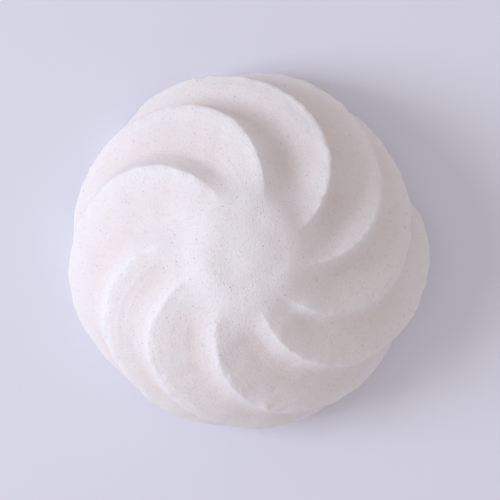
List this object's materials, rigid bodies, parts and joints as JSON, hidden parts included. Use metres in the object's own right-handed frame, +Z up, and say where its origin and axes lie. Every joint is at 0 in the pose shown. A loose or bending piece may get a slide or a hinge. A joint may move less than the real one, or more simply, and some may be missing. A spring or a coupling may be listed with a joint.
{
  "type": "meringue cookie",
  "caption": "White meringue twirl: a low piped dome of uneven curved ridges round a plain soft top, on a flat underside. A dry, crisp sweet to set on a plate or cake.",
  "frame": {"origin": "middle of the bounding box, on the flat underside", "axes": "+Z up through the middle of the top; +X and +Y lie in the plane of the underside, as the picture's right and up"},
  "size_m": [0.061, 0.0604, 0.029],
  "materials": {
    "meringue": "dried whipped egg white and sugar: matt white with a trace of cream, fine pores, faintly translucent"
  },
  "bodies": {
    "root": {"meringue": "meringue"}
  },
  "joints": []
}
